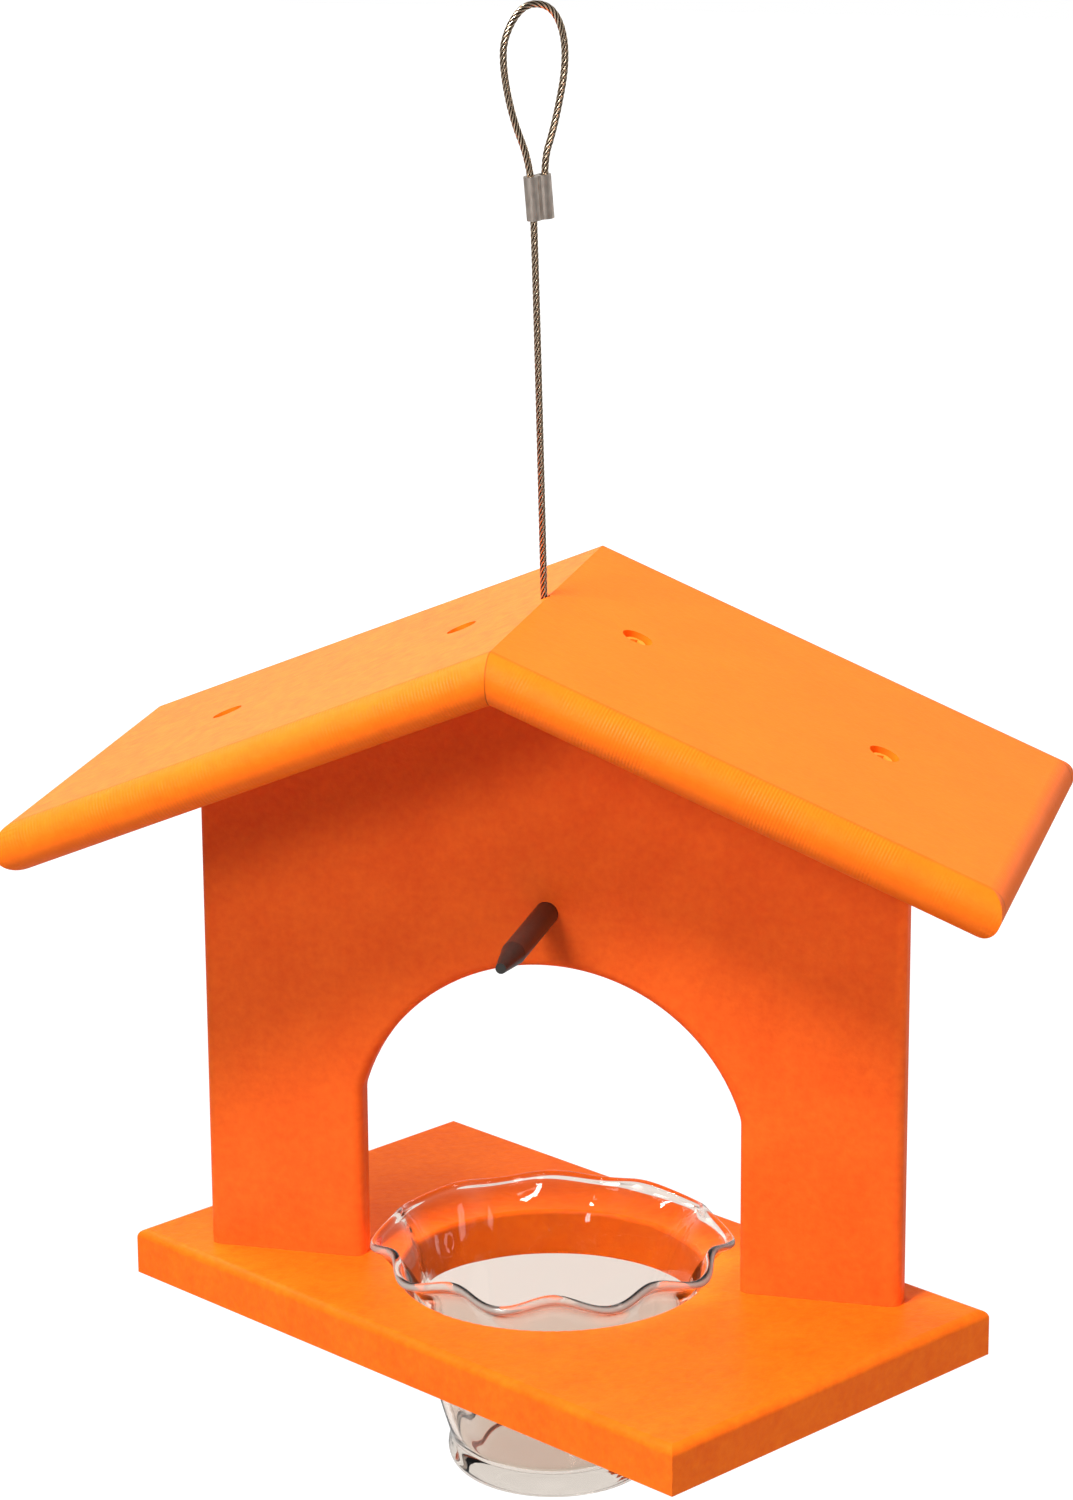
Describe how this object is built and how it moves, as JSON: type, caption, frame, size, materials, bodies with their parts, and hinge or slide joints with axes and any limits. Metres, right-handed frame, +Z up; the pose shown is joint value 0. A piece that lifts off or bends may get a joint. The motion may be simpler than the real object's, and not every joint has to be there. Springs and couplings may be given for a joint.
{
  "type": "hanging oriole feeder",
  "caption": "Hanging bird feeder: a gabled roof on an upright arched panel over a small floor board, with a glass jelly cup in the floor, a pointed fruit rod and a wire rope loop.",
  "frame": {"origin": "inside top of the rope's loop, the point that a hook carries", "axes": "+X along the upright panel, across the gable, +Y through the arch to the back, +Z up; the ridge runs along Y"},
  "size_m": [0.2588, 0.2074, 0.3934],
  "materials": {
    "orange_board": "matte, solid-coloured recycled plastic lumber",
    "dark_rod": "satin, dark brown",
    "clear_glass": "clear pressed glass",
    "wire_rope": "stranded stainless wire rope",
    "soft_metal": "pressed aluminium",
    "coated_screw": "orange coated",
    "bare_screw": "stainless"
  },
  "bodies": {
    "root": {"roof_board_left": "orange_board", "roof_board_right": "orange_board", "arch_panel": "orange_board", "floor_board": "orange_board", "fruit_spike": "dark_rod", "jelly_cup": "clear_glass", "hanger_cable": "wire_rope", "crimp_sleeve": "soft_metal", "stop_sleeve": "soft_metal", "roof_screw_left_upper": "coated_screw", "roof_screw_left_lower": "coated_screw", "roof_screw_right_upper": "coated_screw", "roof_screw_right_lower": "coated_screw", "floor_screw_left_inner": "bare_screw", "floor_screw_left_outer": "bare_screw", "floor_screw_right_inner": "bare_screw", "floor_screw_right_outer": "bare_screw"}
  },
  "joints": []
}
